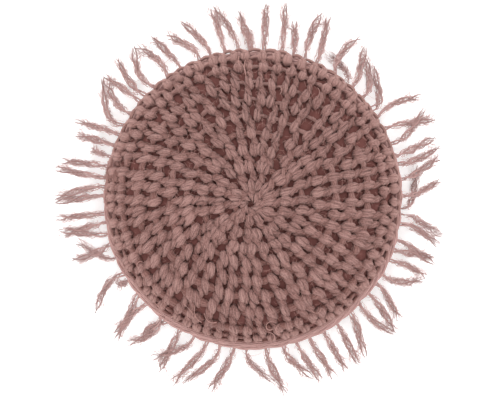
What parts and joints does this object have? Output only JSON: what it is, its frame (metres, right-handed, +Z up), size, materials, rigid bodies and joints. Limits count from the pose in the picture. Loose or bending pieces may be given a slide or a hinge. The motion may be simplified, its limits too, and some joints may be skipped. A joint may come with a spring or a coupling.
{
  "type": "round cushion",
  "caption": "Round filled cushion lying on its back, with a domed crocheted front worked in rounds and a fringe of loose yarn ends around the rim.",
  "frame": {"origin": "middle of the flat back that the cushion rests on", "axes": "+Z up, out of the cushion's face; +Y toward the top of the face"},
  "size_m": [0.5295, 0.5349, 0.113],
  "materials": {
    "casing": "plain woven cotton, matt",
    "yarn": "chunky roving yarn, crocheted, matt and slightly fuzzy",
    "edging": "the same yarn as an edging round and loose frayed ends"
  },
  "bodies": {
    "root": {"inner_cushion": "casing", "crochet_front": "yarn", "edge_fringe": "edging"}
  },
  "joints": []
}
